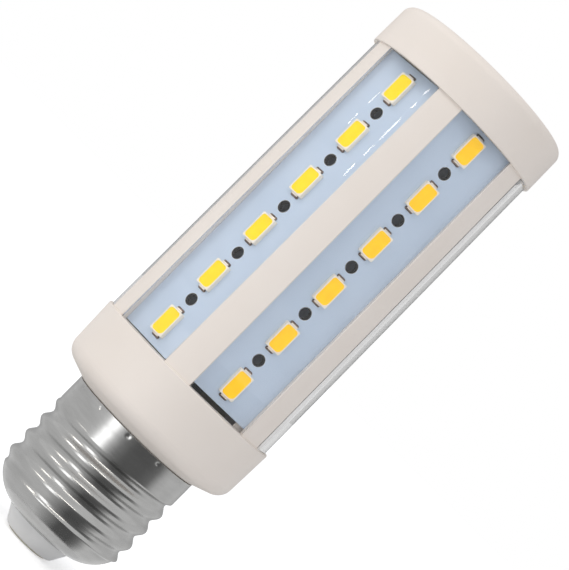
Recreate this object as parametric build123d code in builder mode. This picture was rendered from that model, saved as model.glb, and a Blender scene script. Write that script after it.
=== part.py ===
from build123d import *
from math import atan2, cos, radians, sin, tan
import os

# LED light bulb with six lit sides in a ribbed moulded housing, on a 27 mm screw base.
# Millimetres. The origin is the tip of the centre contact, +Z runs towards the head,
# and the first lit side faces -Y.

# Heights, from the contact's tip to the head
contact_height = 0.35
insulator_length = 3.05
dome_length = 4.5
thread_length = 13.4
collar_length = 5.0
cup_length = 12.4
window_length = 62.3
cap_height = 8.5

# Screw shell, rolled from thin sheet
thread_pitch = 3.629
thread_major_radius = 13.2
thread_root_radius = 12.27
thread_root_land = 0.12
thread_root_sink = 0.12
thread_start_angle = 242.6
thread_lead_in = 0.9
collar_radius = 13.05
collar_edge = 0.25
thread_run_out = 0.75
shell_wall = 0.3
dome_shoulder = 0.33
dome_mid_radius = 10.35
dome_mid_height = 1.55
dome_hole_radius = 6.85
punch_count = 12
punch_phase = 5.0
punch_depth = 0.18
punch_radius = 0.55
punch_below_edge = 0.75

# Housing: base cup, neck and six ribs in one moulding
side_count = 6
cup_base_rise = 2.0
cup_corner_radius = 2.9
cup_draft = 0.37
cup_step = 0.52
cup_wall = 1.6
cup_edge = 0.25
rib_foot_radius = 18.05
rib_draft = 0.45
rib_depth = 3.45
rib_half_width = 1.85
rib_edge = 0.2
sill_thickness = 1.5
spigot_clearance = 0.15
spigot_height = 4.5
neck_wall = 1.3
neck_clearance = 0.1
neck_end_gap = 1.6
window_lean = 0.15

# LED boards and the chips on them
board_stand = 0.04
board_gap = 1.15
board_thickness = 1.0
board_clearance = 0.05
board_shortfall = 0.1
board_rises = (0.89, 0.2, 0.5, 0.3, 0.7, 0.2)
board_hole_radius = 1.02
led_count = 6
led_end_margin = 4.4
led_length = 5.2
led_width = 3.0
led_height = 0.85
led_rim = 0.22
led_phosphor_depth = 0.3
led_phosphor_drop = 0.05
terminal_length = 0.6
terminal_width = 1.8
terminal_height = 0.45
terminal_toe = 0.1

# Clear covers in the windows
cover_wall = 1.0
cover_drop = 0.05
cover_side_clearance = 0.02

# Top cap
cap_overhang = 0.55
cap_draft = 0.13
cap_wall = 1.5
cap_roof = 1.8
cap_round = 1.7
cap_edge = 0.15

# Insulator and centre contact
insulator_top_radius = 6.75
insulator_low_radius = 5.0
insulator_edge = 0.6
insulator_flange_radius = 8.6
insulator_seat_rise = 1.15
insulator_flange_height = 0.85
insulator_clearance = 0.05
contact_radius = 4.2
contact_round = 0.2
contact_seat_depth = 0.5
contact_stem_radius = 1.1
contact_stem_length = 6.6

# Driver board, its parts and the leads
driver_width = 19.0
driver_thickness = 1.6
driver_start = 12.5
driver_length = 33.0
rail_depth = 1.6
rail_wall = 0.9
rail_clearance = 0.05
rail_stop = 1.0
film_capacitor_size = (13.0, 6.0, 11.0)
film_capacitor_centre = (0.5, 35.5)
electrolytic_radius = 4.0
electrolytic_length = 12.0
electrolytic_centre = (-3.2, 34.0)
rectifier_size = (4.8, 2.2, 6.4)
rectifier_centre = (4.6, 28.5)
fuse_resistor_radius = 1.6
fuse_resistor_length = 8.5
fuse_resistor_centre = (-3.4, 21.0)
bleed_resistor_radius = 1.15
bleed_resistor_length = 6.2
bleed_resistor_centre = (3.6, 21.0)
component_gap = 0.3
film_capacitor_round = 1.5
electrolytic_bead = 1.0
rectifier_chamfer = 0.4
component_lead_radius = 0.3
component_lead_reach = 1.2
wire_radius = 0.55
wire_bend = 1.6
live_pad = (0.0, 14.6)
neutral_pad = (-6.2, 15.5)
led_wire_pad_x = 4.4
led_wire_below_top = 1.9
led_wire_sag = 1.6
wire_end_gap = 0.02
link_wire_radius = 0.4
link_wire_offset = 4.4
link_wire_reach = 2.2
link_wire_drop = 3.0

# Levels that follow from the heights
insulator_z = contact_height
dome_z = insulator_z + insulator_length
thread_z = dome_z + dome_length
collar_z = thread_z + thread_length
shell_top_z = collar_z + collar_length
sill_z = shell_top_z + cup_length
cap_z = sill_z + window_length
cap_top_z = cap_z + cap_height
spigot_top_z = cap_z + spigot_height

# Radii and widths that follow from their neighbours
side_angles = [-90 + 360 / side_count * side for side in range(side_count)]
side_slope = tan(radians(180 / side_count))
cup_rim_radius = rib_foot_radius + cup_step
cup_low_radius = cup_rim_radius - cup_draft
rib_head_radius = rib_foot_radius - rib_draft
rib_bore_radius = rib_foot_radius - rib_depth
cap_rim_radius = rib_head_radius + cap_overhang
cap_top_radius = cap_rim_radius - cap_draft
cap_bore_radius = cap_rim_radius - cap_wall
spigot_radius = cap_bore_radius - spigot_clearance
board_apothem = rib_bore_radius + board_stand
board_back = board_apothem - board_thickness
board_width = 2 * board_back * side_slope - board_gap
window_half_width = board_apothem * side_slope - rib_half_width
board_length = window_length - board_shortfall
led_pitch = (board_length - 2 * led_end_margin) / (led_count - 1)
slot_half_width = board_width / 2 + board_clearance
slot_back = board_back - board_clearance
slot_front = board_apothem + board_clearance
window_reach = cup_rim_radius + 1
shell_bore_radius = thread_root_radius - shell_wall
dome_top_radius = thread_root_radius + dome_shoulder
collar_bore_radius = collar_radius - shell_wall
neck_radius = shell_bore_radius - neck_clearance
neck_bore_radius = neck_radius - neck_wall
neck_collar_radius = collar_bore_radius - neck_clearance
neck_end_z = thread_z + neck_end_gap
cup_floor_z = shell_top_z + cup_wall / 2
cup_corner_z = shell_top_z + cup_base_rise
led_wire_z = driver_start + driver_length - led_wire_below_top
rail_inner_x = driver_width / 2 + rail_clearance - rail_depth
rail_outer_x = neck_bore_radius + neck_wall / 2
rail_middle = (rail_inner_x + rail_outer_x) / 2
contact_shoulder_z = contact_height + contact_seat_depth
insulator_seat_z = dome_z + insulator_seat_rise
insulator_top_z = insulator_seat_z + insulator_flange_height

os.makedirs("parts", exist_ok=True)


def side_plane(side, depth, level):
    """Plane on one side of the bulb: x across, y towards the head, z outwards."""
    angle = radians(side_angles[side])
    outwards = (cos(angle), sin(angle), 0)
    across = (-sin(angle), cos(angle), 0)
    origin = (depth * outwards[0], depth * outwards[1], level)
    return Plane(origin=origin, x_dir=across, z_dir=outwards)


def window_outline(side, clearance):
    """One window seen from the head, wedge-shaped: its sides lean together outwards."""
    inner_half = window_half_width - clearance
    outer_half = inner_half - window_lean * (window_reach - board_apothem)
    with PolarLocations(0, 1, start_angle=side_angles[side]):
        Polygon(
            (board_apothem, -inner_half),
            (window_reach, -outer_half),
            (window_reach, outer_half),
            (board_apothem, inner_half),
            align=None,
        )


def board_plane(side):
    """Upright plane through the middle of one board: x along the board, y outwards."""
    angle = radians(side_angles[side])
    middle = (0, 0, board_level(side) + board_length / 2)
    return Plane(origin=middle, x_dir=(0, 0, 1), z_dir=(-sin(angle), cos(angle), 0))


def board_level(side):
    """Height of one board's lower end: each board has settled at its own height."""
    return sill_z + board_rises[side]


def side_point(side, apothem, across, level):
    """Point given from one side's own middle line."""
    angle = radians(side_angles[side])
    x = apothem * cos(angle) - across * sin(angle)
    y = apothem * sin(angle) + across * cos(angle)
    return (x, y, level)


def wire_between(points, radius, bend):
    """Round wire along straight runs joined by tangent arcs."""
    with BuildPart() as wire:
        with BuildLine() as route:
            FilletPolyline(*points, radius=bend)
        with BuildSketch(Plane(origin=route.line @ 0, z_dir=route.line % 0)):
            Circle(radius)
        sweep(path=route.line)
    return wire.part


def save(piece, name):
    """Label one finished piece and write it to its own file."""
    piece.part.label = name
    export_step(piece.part, f"parts/{name}.step")


# Housing: base cup, neck and ribs are one moulding, revolved and then cut open
with BuildPart() as housing:
    with BuildSketch(Plane.XZ):
        with BuildLine():
            FilletPolyline(
                (neck_collar_radius, shell_top_z),
                (cup_low_radius, cup_corner_z),
                (cup_rim_radius, sill_z),
                (rib_foot_radius, sill_z),
                radius=(cup_corner_radius, cup_edge),
            )
            Polyline(
                (rib_foot_radius, sill_z),
                (rib_head_radius, cap_z),
                (spigot_radius, cap_z),
                (spigot_radius, spigot_top_z),
                (rib_bore_radius, spigot_top_z),
                (rib_bore_radius, sill_z - sill_thickness),
                (cup_rim_radius - cup_wall, sill_z - sill_thickness),
            )
            FilletPolyline(
                (cup_rim_radius - cup_wall, sill_z - sill_thickness),
                (cup_low_radius - cup_wall, cup_corner_z + cup_wall),
                (neck_bore_radius, cup_floor_z),
                radius=cup_corner_radius - cup_wall,
            )
            Polyline(
                (neck_bore_radius, cup_floor_z),
                (neck_bore_radius, neck_end_z),
                (neck_radius, neck_end_z),
                (neck_radius, collar_z + shell_wall + neck_clearance),
                (neck_collar_radius, collar_z + shell_wall + neck_clearance),
                (neck_collar_radius, shell_top_z),
            )
        make_face()
    revolve(axis=Axis.Z)
    with BuildSketch(Plane.XY.offset(sill_z)):
        for side in range(side_count):
            window_outline(side, 0)
    extrude(amount=window_length + cap_height, mode=Mode.SUBTRACT)
    # The long outer edges of the ribs are softened, as moulding leaves them
    rib_middle_radius = (rib_foot_radius + rib_head_radius) / 2
    rib_arrises = [
        edge
        for edge in housing.edges()
        if edge.length > window_length / 2
        and Vector((edge @ 0.5).X, (edge @ 0.5).Y).length > rib_middle_radius - rib_edge
    ]
    fillet(rib_arrises, rib_edge)
    with BuildSketch(Plane.XY.offset(sill_z)):
        with PolarLocations((slot_back + slot_front) / 2, side_count, start_angle=side_angles[0]):
            Rectangle(slot_front - slot_back, 2 * slot_half_width)
    extrude(amount=window_length + cap_height, mode=Mode.SUBTRACT)
    # Rails in the neck hold the driver board on edge, closed below by a stop
    with BuildSketch(Plane.XY.offset(driver_start - rail_stop)):
        with Locations((-rail_middle, 0), (rail_middle, 0)):
            Rectangle(
                rail_outer_x - rail_inner_x, driver_thickness + 2 * (rail_wall + rail_clearance)
            )
    extrude(amount=cup_floor_z - driver_start + rail_stop)
    with BuildSketch(Plane.XY.offset(driver_start)):
        Rectangle(driver_width + 2 * rail_clearance, driver_thickness + 2 * rail_clearance)
    extrude(amount=cup_floor_z - driver_start, mode=Mode.SUBTRACT)

save(housing, "housing")

# Clear covers: each fills its window, a little below the faces of the ribs
with BuildPart() as cover_ring:
    with BuildSketch(Plane.XZ):
        Polygon(
            (rib_foot_radius - cover_drop, sill_z),
            (rib_head_radius - cover_drop, cap_z),
            (rib_head_radius - cover_drop - cover_wall, cap_z),
            (rib_foot_radius - cover_drop - cover_wall, sill_z),
            align=None,
        )
    revolve(axis=Axis.Z)

for side in range(side_count):
    with BuildPart() as cover:
        with BuildSketch(Plane.XY.offset(sill_z)):
            window_outline(side, cover_side_clearance)
        extrude(amount=window_length)
        add(cover_ring.part, mode=Mode.INTERSECT)
    save(cover, f"cover_{side + 1}")

# LED boards: flat boards with a row of holes midway between the chips
for side in range(side_count):
    with BuildPart() as board:
        with BuildSketch(side_plane(side, board_back, board_level(side) + board_length / 2)):
            Rectangle(board_width, board_length)
            with GridLocations(0, led_pitch, 1, led_count - 1):
                Circle(board_hole_radius, mode=Mode.SUBTRACT)
        extrude(amount=board_thickness)
    save(board, f"led_board_{side + 1}")

# LED chips: white bodies with a sunk window, yellow filling, and soldered terminals
for side in range(side_count):
    board_front = side_plane(side, board_apothem, board_level(side) + board_length / 2)
    with BuildPart() as bodies:
        with BuildSketch(board_front):
            with GridLocations(0, led_pitch, 1, led_count):
                Rectangle(led_width, led_length)
        extrude(amount=led_height)
        with BuildSketch(board_front.offset(led_height - led_phosphor_depth)):
            with GridLocations(0, led_pitch, 1, led_count):
                Rectangle(led_width - 2 * led_rim, led_length - 2 * led_rim)
        extrude(amount=led_phosphor_depth, mode=Mode.SUBTRACT)
    save(bodies, f"led_bodies_{side + 1}")

    with BuildPart() as phosphor:
        with BuildSketch(board_front.offset(led_height - led_phosphor_depth)):
            with GridLocations(0, led_pitch, 1, led_count):
                Rectangle(led_width - 2 * led_rim, led_length - 2 * led_rim)
        extrude(amount=led_phosphor_depth - led_phosphor_drop)
    save(phosphor, f"led_phosphor_{side + 1}")

    with BuildPart() as terminals:
        with BuildSketch(board_plane(side)):
            with GridLocations(led_pitch, 0, led_count, 1):
                for turn in (0, 180):
                    heel = led_length / 2
                    toe = heel + terminal_length
                    facing = 1 if turn == 0 else -1
                    Polygon(
                        (facing * heel, board_apothem),
                        (facing * toe, board_apothem),
                        (facing * toe, board_apothem + terminal_toe),
                        (facing * (heel + terminal_length / 3), board_apothem + terminal_height),
                        (facing * heel, board_apothem + terminal_height),
                        align=None,
                    )
        extrude(amount=terminal_width / 2, both=True)
    save(terminals, f"led_terminals_{side + 1}")

# Top cap: a shallow lid whose skirt hides the heads of the ribs
with BuildPart() as top_cap:
    with BuildSketch(Plane.XZ):
        with BuildLine():
            FilletPolyline(
                (cap_bore_radius, cap_z),
                (cap_rim_radius, cap_z),
                (cap_top_radius, cap_top_z),
                (0, cap_top_z),
                radius=(cap_edge, cap_round),
            )
            Polyline(
                (0, cap_top_z),
                (0, cap_top_z - cap_roof),
                (cap_bore_radius, cap_top_z - cap_roof),
                (cap_bore_radius, cap_z),
            )
        make_face()
    revolve(axis=Axis.Z)

save(top_cap, "top_cap")

# Screw shell: a rolled round thread between a smooth collar and a dome.
# The ridge of the thread is swept along a helix, its flanks made of equal tangent arcs.
thread_depth = thread_major_radius - thread_root_radius
ridge_half = (thread_pitch - thread_root_land) / 2

with BuildPart() as thread_ridge:
    with BuildLine() as thread_path:
        Helix(thread_pitch, thread_lead_in + thread_length + thread_run_out, thread_root_radius)
    ridge_plane = Plane(
        origin=thread_path.line @ 0, x_dir=(1, 0, 0), z_dir=thread_path.line % 0
    )
    with BuildSketch(ridge_plane):
        with BuildLine():
            middle = (thread_depth - thread_root_sink) / 2
            foot = TangentArc(
                (-thread_root_sink, -ridge_half), (middle, -ridge_half / 2), tangent=(0, 1)
            )
            climb = TangentArc(foot @ 1, (thread_depth, 0), tangent=foot % 1)
            fall = TangentArc(climb @ 1, (middle, ridge_half / 2), tangent=(0, 1))
            TangentArc(fall @ 1, (-thread_root_sink, ridge_half), tangent=fall % 1)
            Polyline(
                (-thread_root_sink, ridge_half),
                (-thread_depth / 2, ridge_half),
                (-thread_depth / 2, -ridge_half),
                (-thread_root_sink, -ridge_half),
            )
        make_face()
    sweep(path=thread_path.line, is_frenet=True)

# Towards the collar the crest of the thread runs down to the collar's radius
with BuildPart() as run_out_form:
    with BuildSketch(Plane.XZ):
        Polygon(
            (0, dome_z - thread_pitch),
            (thread_major_radius + thread_depth, dome_z - thread_pitch),
            (thread_major_radius + thread_depth, collar_z - thread_pitch / 2),
            (thread_major_radius, collar_z - thread_pitch / 2),
            (collar_radius - shell_wall / 4, collar_z + thread_run_out / 2),
            (collar_radius - shell_wall / 4, shell_top_z),
            (0, shell_top_z),
            align=None,
        )
    revolve(axis=Axis.Z)

with BuildPart() as thread:
    with Locations(Location((0, 0, thread_z - thread_lead_in), (0, 0, thread_start_angle))):
        add(thread_ridge.part)
    add(run_out_form.part, mode=Mode.INTERSECT)

# The form that the dome takes, which also ends the thread below
with BuildPart() as dome_form:
    with BuildSketch(Plane.XZ):
        with BuildLine():
            Line((0, dome_z), (dome_hole_radius, dome_z))
            ThreePointArc(
                (dome_hole_radius, dome_z),
                (dome_mid_radius, dome_z + dome_mid_height),
                (dome_top_radius, thread_z),
            )
            Polyline(
                (dome_top_radius, thread_z),
                (thread_major_radius + thread_depth, thread_z + thread_depth),
                (thread_major_radius + thread_depth, shell_top_z + thread_depth),
                (0, shell_top_z + thread_depth),
                (0, dome_z),
            )
        make_face()
    revolve(axis=Axis.Z)

with BuildPart() as screw_shell:
    with BuildSketch(Plane.XY.offset(dome_z - thread_depth)):
        Circle(thread_root_radius)
    extrude(amount=collar_z + thread_run_out - dome_z + thread_depth)
    add(thread.part)
    split(bisect_by=Plane.XY.offset(collar_z), keep=Keep.BOTTOM)
    add(dome_form.part, mode=Mode.INTERSECT)
    with BuildSketch(Plane.XZ):
        with BuildLine():
            FilletPolyline(
                (0, collar_z),
                (collar_radius, collar_z),
                (collar_radius, shell_top_z),
                (0, shell_top_z),
                radius=(collar_edge, 0),
            )
            Line((0, shell_top_z), (0, collar_z))
        make_face()
    revolve(axis=Axis.Z)
    with BuildSketch(Plane.XZ):
        with BuildLine():
            Polyline(
                (0, dome_z - shell_wall),
                (dome_hole_radius, dome_z - shell_wall),
                (dome_hole_radius, dome_z + shell_wall),
            )
            ThreePointArc(
                (dome_hole_radius, dome_z + shell_wall),
                (dome_mid_radius - shell_wall, dome_z + dome_mid_height + shell_wall / 2),
                (shell_bore_radius, thread_z),
            )
            Polyline(
                (shell_bore_radius, thread_z),
                (shell_bore_radius, collar_z + shell_wall),
                (collar_bore_radius, collar_z + shell_wall),
                (collar_bore_radius, shell_top_z + shell_wall),
                (0, shell_top_z + shell_wall),
                (0, dome_z - shell_wall),
            )
        make_face()
    revolve(axis=Axis.Z, mode=Mode.SUBTRACT)
    with Locations((0, 0, shell_top_z - punch_below_edge)):
        with PolarLocations(
            collar_radius + punch_radius - punch_depth, punch_count, start_angle=punch_phase
        ):
            Sphere(punch_radius, mode=Mode.SUBTRACT)

save(screw_shell, "screw_shell")

# Insulator: a stepped ring that closes the dome's hole round the contact
with BuildPart() as insulator:
    with BuildSketch(Plane.XZ):
        with BuildLine():
            FilletPolyline(
                (contact_radius + insulator_clearance, insulator_z),
                (insulator_low_radius, insulator_z),
                (insulator_top_radius, dome_z),
                radius=insulator_edge,
            )
            Polyline(
                (insulator_top_radius, dome_z),
                (insulator_top_radius, dome_z + shell_wall + insulator_clearance),
                (insulator_flange_radius, insulator_seat_z),
                (insulator_flange_radius, insulator_top_z),
                (contact_stem_radius + insulator_clearance, insulator_top_z),
                (contact_stem_radius + insulator_clearance, contact_shoulder_z),
                (contact_radius + insulator_clearance, contact_shoulder_z),
                (contact_radius + insulator_clearance, insulator_z),
            )
        make_face()
    revolve(axis=Axis.Z)

save(insulator, "insulator")

# Centre contact: a disc in the insulator's end with a stem up to the live wire
with BuildPart() as centre_contact:
    with BuildSketch(Plane.XZ):
        with BuildLine():
            FilletPolyline(
                (0, 0),
                (contact_radius, 0),
                (contact_radius, contact_shoulder_z),
                radius=contact_round,
            )
            Polyline(
                (contact_radius, contact_shoulder_z),
                (contact_stem_radius, contact_shoulder_z),
                (contact_stem_radius, contact_stem_length),
                (0, contact_stem_length),
                (0, 0),
            )
        make_face()
    revolve(axis=Axis.Z)

save(centre_contact, "centre_contact")

# Driver board, standing in the rails
with BuildPart() as driver_board:
    with BuildSketch(Plane.XY.offset(driver_start)):
        Rectangle(driver_width, driver_thickness)
    extrude(amount=driver_length)

save(driver_board, "driver_board")


def lead_pair(x, spacing, level, depth, facing):
    """Two leads that leave a component downwards and bend to the board's face."""
    for lead_x in (x - spacing / 2, x + spacing / 2):
        add(
            wire_between(
                [
                    (lead_x, facing * depth, level),
                    (lead_x, facing * depth, level - component_lead_reach),
                    (lead_x, facing * driver_thickness / 2, level - component_lead_reach),
                ],
                component_lead_radius,
                2 * component_lead_radius,
            )
        )


with BuildPart() as film_capacitor:
    film_x, film_z = film_capacitor_centre
    film_width, film_depth, film_height = film_capacitor_size
    film_y = driver_thickness / 2 + component_gap + film_depth / 2
    with Locations((film_x, film_y, film_z)):
        Box(film_width, film_depth, film_height)
    fillet(film_capacitor.edges().filter_by(Axis.Y), film_capacitor_round)
    lead_pair(film_x, film_width - 2 * film_capacitor_round, film_z - film_height / 2, film_y, 1)

save(film_capacitor, "film_capacitor")

with BuildPart() as electrolytic:
    can_x, can_z = electrolytic_centre
    can_y = -(driver_thickness / 2 + component_gap + electrolytic_radius)
    can_low = can_z - electrolytic_length / 2
    with BuildSketch(Plane.XZ):
        with BuildLine():
            FilletPolyline(
                (0, can_low),
                (electrolytic_radius, can_low),
                (electrolytic_radius, can_low + electrolytic_bead),
                (electrolytic_radius - electrolytic_bead / 3, can_low + 1.5 * electrolytic_bead),
                (electrolytic_radius, can_low + 2 * electrolytic_bead),
                (electrolytic_radius, can_low + electrolytic_length),
                (0, can_low + electrolytic_length),
                radius=electrolytic_bead / 4,
            )
            Line((0, can_low + electrolytic_length), (0, can_low))
        make_face()
    revolve(axis=Axis.Z)

with BuildPart() as smoothing_capacitor:
    with Locations((can_x, can_y, 0)):
        add(electrolytic.part)
    lead_pair(can_x, electrolytic_radius, can_low, -can_y, -1)

save(smoothing_capacitor, "smoothing_capacitor")

with BuildPart() as bridge_rectifier:
    bridge_x, bridge_z = rectifier_centre
    bridge_width, bridge_depth, bridge_height = rectifier_size
    with Locations((bridge_x, -(driver_thickness + bridge_depth) / 2, bridge_z)):
        Box(bridge_width, bridge_depth, bridge_height)
    chamfer(bridge_rectifier.faces().sort_by(Axis.Y)[0].edges(), rectifier_chamfer)

save(bridge_rectifier, "bridge_rectifier")


def axial_resistor(centre, radius, length):
    """Round resistor standing along the board, with a bent lead at each end."""
    x, z = centre
    y = driver_thickness / 2 + component_gap + radius
    with BuildPart() as resistor:
        with Locations((x, y, z)):
            Cylinder(radius, length)
        fillet(resistor.edges().filter_by(GeomType.CIRCLE), radius / 2)
        for end in (-1, 1):
            tip = z + end * length / 2
            add(
                wire_between(
                    [
                        (x, y, tip),
                        (x, y, tip + end * component_lead_reach),
                        (x, driver_thickness / 2, tip + end * component_lead_reach),
                    ],
                    component_lead_radius,
                    2 * component_lead_radius,
                )
            )
    return resistor


save(axial_resistor(fuse_resistor_centre, fuse_resistor_radius, fuse_resistor_length), "fuse_resistor")
save(axial_resistor(bleed_resistor_centre, bleed_resistor_radius, bleed_resistor_length), "bleed_resistor")

# Leads from the base to the driver board and from there to the LED boards
board_face = -driver_thickness / 2
with BuildPart() as live_wire:
    pad_x, pad_z = live_pad
    add(
        wire_between(
            [
                (0, 0, contact_stem_length),
                (0, 0, contact_stem_length + 2 * wire_bend),
                (pad_x, board_face - 2 * wire_bend, driver_start - wire_radius),
                (pad_x, board_face - 2 * wire_bend, pad_z),
                (pad_x, board_face, pad_z),
            ],
            wire_radius,
            wire_bend,
        )
    )

save(live_wire, "live_wire")

with BuildPart() as neutral_wire:
    pad_x, pad_z = neutral_pad
    run_y = board_face - 2 * wire_bend
    exit_angle = atan2(run_y, pad_x)
    end_radius = shell_bore_radius - wire_end_gap
    low_z = neck_end_z - wire_radius - wire_end_gap
    add(
        wire_between(
            [
                (pad_x, board_face, pad_z),
                (pad_x, run_y, pad_z),
                (pad_x, run_y, low_z),
                (end_radius * cos(exit_angle), end_radius * sin(exit_angle), low_z),
            ],
            wire_radius,
            wire_bend,
        )
    )

save(neutral_wire, "neutral_wire")

with BuildPart() as led_wire_positive:
    add(
        wire_between(
            [
                (led_wire_pad_x, board_face, led_wire_z),
                (led_wire_pad_x, board_face - 2 * wire_bend, led_wire_z),
                (led_wire_pad_x, (board_face - board_back) / 2, led_wire_z - led_wire_sag),
                (led_wire_pad_x, -board_back + 2 * wire_bend, led_wire_z),
                side_point(0, board_back, led_wire_pad_x, led_wire_z),
            ],
            wire_radius,
            wire_bend,
        )
    )

save(led_wire_positive, "led_wire_positive")

last_side = side_count - 1
with BuildPart() as led_wire_negative:
    add(
        wire_between(
            [
                (-led_wire_pad_x, board_face, led_wire_z),
                (-led_wire_pad_x, board_face - 2 * wire_bend, led_wire_z),
                side_point(last_side, board_back - 2.5 * wire_bend, 0, led_wire_z - led_wire_sag / 2),
                side_point(last_side, board_back, 0, led_wire_z - led_wire_sag / 2),
            ],
            wire_radius,
            wire_bend,
        )
    )

save(led_wire_negative, "led_wire_negative")

# Link wires join the boards in a chain, each from one board's back to the next
link_z = sill_z + board_length - link_wire_drop
with BuildPart() as link_wires:
    for side in range(side_count - 1):
        add(
            wire_between(
                [
                    side_point(side, board_back, link_wire_offset, link_z),
                    side_point(side, board_back - link_wire_reach, link_wire_offset, link_z),
                    side_point(side + 1, board_back - link_wire_reach, -link_wire_offset, link_z),
                    side_point(side + 1, board_back, -link_wire_offset, link_z),
                ],
                link_wire_radius,
                2 * link_wire_radius,
            )
        )

save(link_wires, "link_wires")
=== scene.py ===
# %% [markdown]
# # An LED bulb with six lit sides
# A ribbed white moulding stands on a nickel screw base. Between its ribs lie six narrow
# circuit boards with six yellow chips each, behind clear covers, and a shallow cap closes
# the head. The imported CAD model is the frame: it fixes every size and place, and this
# script gives it its finishes and the small forms that catch the light.

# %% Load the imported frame
from math import cos, hypot, pi, radians, sin

import bmesh
import bpy
from mathutils import Matrix, Vector


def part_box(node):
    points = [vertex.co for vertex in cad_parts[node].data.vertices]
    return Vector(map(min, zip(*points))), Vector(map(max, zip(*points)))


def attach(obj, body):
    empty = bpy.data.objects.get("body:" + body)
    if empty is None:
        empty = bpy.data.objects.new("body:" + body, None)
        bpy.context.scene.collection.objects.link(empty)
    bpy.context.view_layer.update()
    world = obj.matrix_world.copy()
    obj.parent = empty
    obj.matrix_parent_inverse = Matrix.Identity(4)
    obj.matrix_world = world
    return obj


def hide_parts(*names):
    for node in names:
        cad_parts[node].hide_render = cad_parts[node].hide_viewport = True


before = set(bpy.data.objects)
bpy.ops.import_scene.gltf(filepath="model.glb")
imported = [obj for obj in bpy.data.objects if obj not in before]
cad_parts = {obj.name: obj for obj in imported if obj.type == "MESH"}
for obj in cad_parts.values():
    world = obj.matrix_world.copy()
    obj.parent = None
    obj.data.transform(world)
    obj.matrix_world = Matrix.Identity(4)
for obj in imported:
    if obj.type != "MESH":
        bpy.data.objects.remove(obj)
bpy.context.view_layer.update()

MM = 0.001
WHITE = (1, 1, 1, 1)
SIDE_COUNT = 6
side_numbers = range(1, SIDE_COUNT + 1)
bpy.context.scene.view_settings.view_transform = "Standard"

# %% [markdown]
# ## The camera
# The photograph looks at the bulb level with its middle, from a little over a third of a
# metre, and the camera is rolled so that the head points to the upper right. Azimuth,
# distance and roll were found from the rows of holes and chips, whose real spacing is
# known. Building the camera's matrix from its three axes is simpler than a chain of turns.

# %% Place the camera
CAMERA_AZIMUTH = 23.815
CAMERA_DISTANCE = 376.3 * MM
CAMERA_HEIGHT = 57.1 * MM
AIM_HEIGHT = 61.1 * MM
AIM_ASIDE = 0.33 * MM
CAMERA_ROLL = 44.88
LENS_IN_PIXELS = 2236.6
PICTURE_WIDTH = 569
SENSOR_WIDTH = 36.0


def horizontal(azimuth):
    """The level direction that points from the bulb's axis to the camera's side."""
    angle = radians(azimuth)
    return Vector((-sin(angle), -cos(angle), 0))


def add_object(name, data):
    """A new object with its data, linked to the scene."""
    thing = bpy.data.objects.new(name, data)
    bpy.context.collection.objects.link(thing)
    return thing


towards_camera = horizontal(CAMERA_AZIMUTH)
camera_place = towards_camera * CAMERA_DISTANCE + Vector((0, 0, CAMERA_HEIGHT))
level_right = Vector((0, 0, 1)).cross(towards_camera)
view = (Vector((0, 0, AIM_HEIGHT)) + level_right * AIM_ASIDE - camera_place).normalized()
right = view.cross(Vector((0, 0, 1))).normalized()
up = right.cross(view)
roll = radians(CAMERA_ROLL)
picture_right = right * cos(roll) + up * sin(roll)
picture_up = up * cos(roll) - right * sin(roll)

camera_data = bpy.data.cameras.new("studio_camera")
camera_data.sensor_fit = "HORIZONTAL"
camera_data.sensor_width = SENSOR_WIDTH
camera_data.lens = LENS_IN_PIXELS * SENSOR_WIDTH / PICTURE_WIDTH
camera_data.clip_start = 10 * MM
camera = add_object("studio_camera", camera_data)
camera.matrix_world = Matrix.Translation(camera_place) @ Matrix(
    (picture_right, picture_up, -view)
).transposed().to_4x4()
bpy.context.scene.camera = camera
print(f"lens {camera_data.lens:.1f} mm, {CAMERA_DISTANCE:.3f} m away")

# %% [markdown]
# ## Helpers for node trees
# Geometry and materials are both trees of nodes. These helpers add one node with its
# settings and inputs in a line, so that the steps below show what is made, and a colour is
# written as a painter reads it from the photograph, from 0 to 255.

# %% Write nodes in one line


def add_node(tree, kind, inputs=None, **settings):
    """One node with its settings. Each input is a value or the socket that feeds it."""
    node = tree.nodes.new(kind)
    for name, value in settings.items():
        setattr(node, name, value)
    for name, value in (inputs or {}).items():
        socket = node.inputs[name]
        if isinstance(value, bpy.types.NodeSocket):
            tree.links.new(value, socket)
        else:
            socket.default_value = value
    return node


def maths(tree, operation, *values):
    """The result of one Math node."""
    numbered = dict(enumerate(values))
    return add_node(tree, "ShaderNodeMath", numbered, operation=operation).outputs[0]


def start_group(name, kind, inputs, outputs):
    """An empty group with named sockets, and its Group Input and Group Output nodes."""
    group = bpy.data.node_groups.new(name, kind)
    for label, (socket_kind, value) in inputs.items():
        socket = group.interface.new_socket(label, in_out="INPUT", socket_type=socket_kind)
        if value is not None:
            socket.default_value = value
    for label, socket_kind in outputs.items():
        group.interface.new_socket(label, in_out="OUTPUT", socket_type=socket_kind)
    sockets_in = group.nodes.new("NodeGroupInput").outputs
    sockets_out = group.nodes.new("NodeGroupOutput").inputs
    return group, sockets_in, sockets_out


def tone(red, green, blue):
    """A colour from 0 to 255 as the eye reads it, turned into linear light."""
    channels = [value / 255 for value in (red, green, blue)]
    linear = [c / 12.92 if c < 0.04045 else ((c + 0.055) / 1.055) ** 2.4 for c in channels]
    return (*linear, 1)


print("a warm white in linear light:", [round(channel, 3) for channel in tone(240, 232, 224)])

# %% [markdown]
# ## Grain that several finishes share
# No moulded or printed surface is one flat colour: resin flows in faint clouds, and the
# mould leaves a fine texture that breaks up the gloss. One shader group makes both from
# noise on the object's own coordinates, and each material places it with its own values.

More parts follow.
